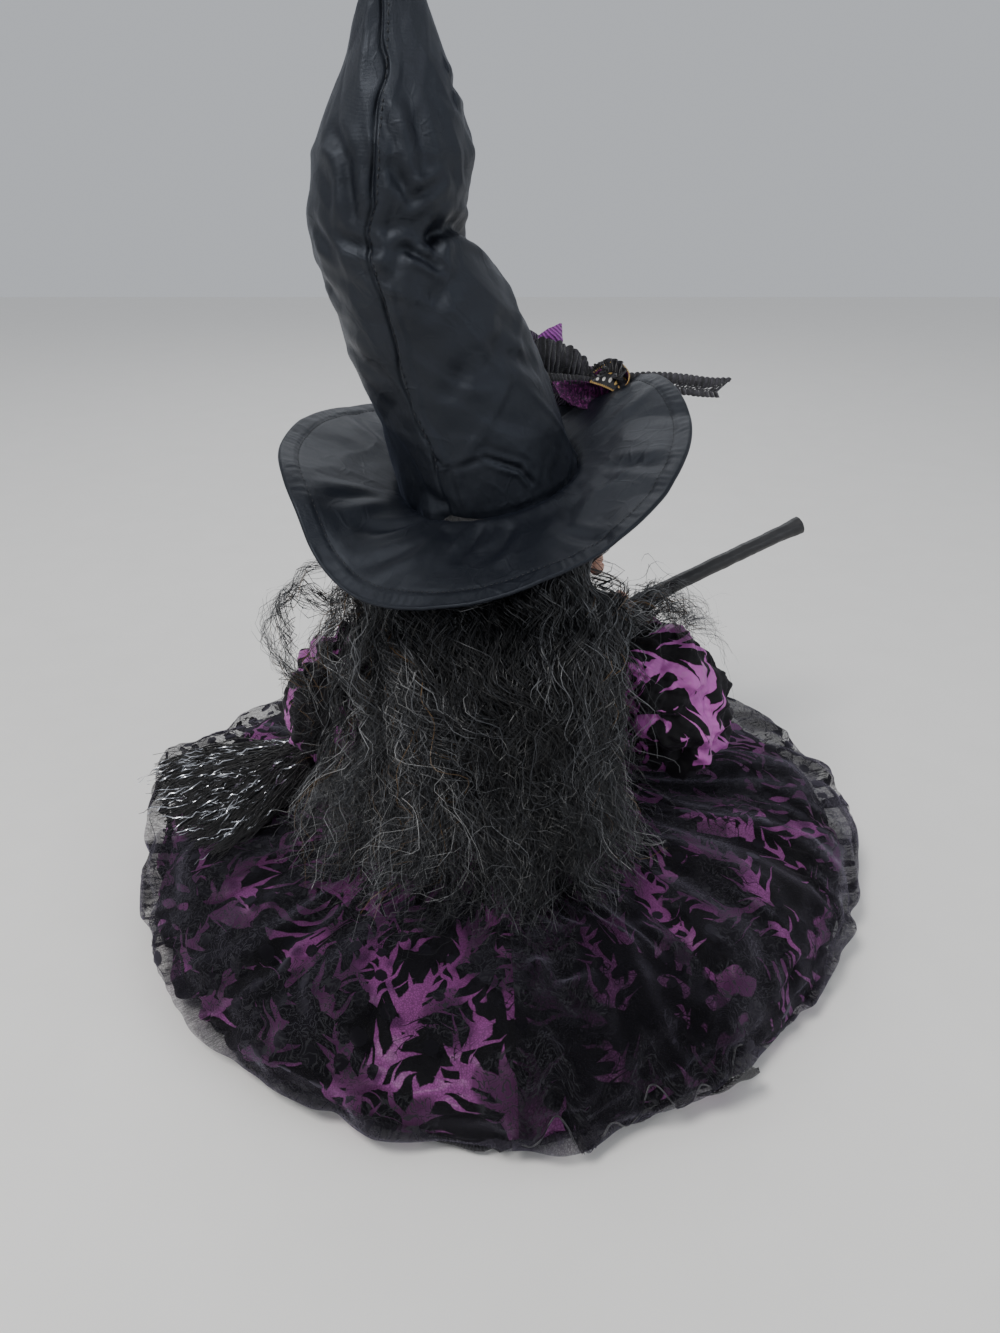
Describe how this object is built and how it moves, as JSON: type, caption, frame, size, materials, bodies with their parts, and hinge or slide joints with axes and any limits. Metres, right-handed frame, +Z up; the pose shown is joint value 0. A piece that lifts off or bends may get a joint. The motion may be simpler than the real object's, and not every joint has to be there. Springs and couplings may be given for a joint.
{
  "type": "animated witch figure",
  "caption": "Seasonal animated witch figure with a bent pointed hat, long crimped hair, a flocked purple dress, sheer overskirt and broom; battery base with a turning head.",
  "frame": {"origin": "middle of the footprint, on the surface the figure stands on", "axes": "+Z up, +X to the figure's left, +Y to the figure's back"},
  "size_m": [0.424, 0.424, 0.467],
  "materials": {
    "black_plastic": "moulded, fine texture",
    "foam": "soft foam",
    "battery_wrap": "shrink wrap",
    "contact_metal": "plain",
    "switch_white": "moulded",
    "speaker_black": "paper cone, steel frame",
    "board_green": "solder resist",
    "gear_plate_steel": "pressed sheet",
    "brass": "turned",
    "gear_nylon": "moulded nylon",
    "switch_black": "moulded",
    "lead_red": "PVC insulation",
    "satin_purple": "satin flocked with black",
    "tulle_black": "sheer net with flocked dots",
    "netting": "stiff net",
    "skin_vinyl": "soft vinyl",
    "fibrefill": "polyester fibre",
    "eye_gloss": "polished",
    "wig_hair": "crimped synthetic fibre",
    "hat_taffeta": "polyester taffeta",
    "flower_purple": "satin",
    "ribbon_black": "lace ribbon",
    "berry_pink": "pearl",
    "stick_brown": "stained",
    "bristle_black": "fibre with tinsel"
  },
  "bodies": {
    "base": {"base_plate": "black_plastic", "base_pad": "foam", "battery_box": "black_plastic", "batteries": "battery_wrap", "battery_contacts": "contact_metal", "switch_housing": "black_plastic", "speaker": "speaker_black", "circuit_board": "board_green", "base_screws": "contact_metal", "torso_shell_front": "black_plastic", "torso_shell_back": "black_plastic", "gear_plate_lower": "gear_plate_steel", "gear_plate_upper": "gear_plate_steel", "plate_pillars": "contact_metal", "plate_screws": "contact_metal", "gear_motor": "contact_metal", "idler_axle": "contact_metal", "neck_bush_lower": "brass", "neck_bush_upper": "brass", "limit_switches": "switch_black", "motor_leads": "lead_red", "speaker_leads": "lead_red", "battery_leads": "lead_red", "bodice": "satin_purple", "skirt": "satin_purple", "petticoat": "netting", "tulle_overskirt": "tulle_black", "sleeve_left": "satin_purple", "sleeve_right": "satin_purple", "arm_wire_left": "contact_metal", "arm_wire_right": "contact_metal", "hand_left": "skin_vinyl", "hand_right": "skin_vinyl", "broom_handle": "stick_brown", "broom_bristles": "bristle_black", "broom_binding": "contact_metal", "hair_fall": "wig_hair"},
    "head": {"neck_shaft": "contact_metal", "neck_gear": "gear_nylon", "shaft_clip": "contact_metal", "stop_pin": "contact_metal", "head_mount": "gear_nylon", "head_shell_face": "skin_vinyl", "head_shell_back": "skin_vinyl", "head_core": "fibrefill", "eyes": "eye_gloss", "hair_cap": "wig_hair", "hat_brim": "hat_taffeta", "hat_cone": "hat_taffeta", "hat_stuffing": "fibrefill", "hat_flower": "flower_purple", "hat_bow": "ribbon_black", "ribbon_tails": "ribbon_black", "hat_berries": "berry_pink"},
    "idler": {"idler_gear": "gear_nylon"},
    "pinion": {"motor_pinion": "gear_nylon"},
    "switch": {"switch_slider": "switch_white"},
    "cover": {"battery_cover": "black_plastic"}
  },
  "joints": [
    {"name": "head_turn", "type": "hinge", "parent": "base", "child": "head", "pos_m": [0, 0, 0.114], "axis": [0, 0, 1], "range_deg": [-6, 90]},
    {"name": "idler_turn", "type": "hinge", "parent": "base", "child": "idler", "pos_m": [0.03, 0, 0.11], "axis": [0, 0, 1], "range_deg": [-361, 25]},
    {"name": "motor_turn", "type": "hinge", "parent": "base", "child": "pinion", "pos_m": [0.01305, -0.00901, 0.108], "axis": [0, 0, 1], "range_deg": [-73, 1081]},
    {"name": "power_switch", "type": "slide", "parent": "base", "child": "switch", "axis": [1, 0, 0], "range_m": [0, 0.004]},
    {"name": "battery_cover_slide", "type": "slide", "parent": "base", "child": "cover", "axis": [0, -1, 0], "range_m": [0, 0.03]}
  ],
  "couplings": [
    {"joint": "idler_turn", "follows": "head_turn", "ratio": -4},
    {"joint": "motor_turn", "follows": "head_turn", "ratio": 12}
  ]
}
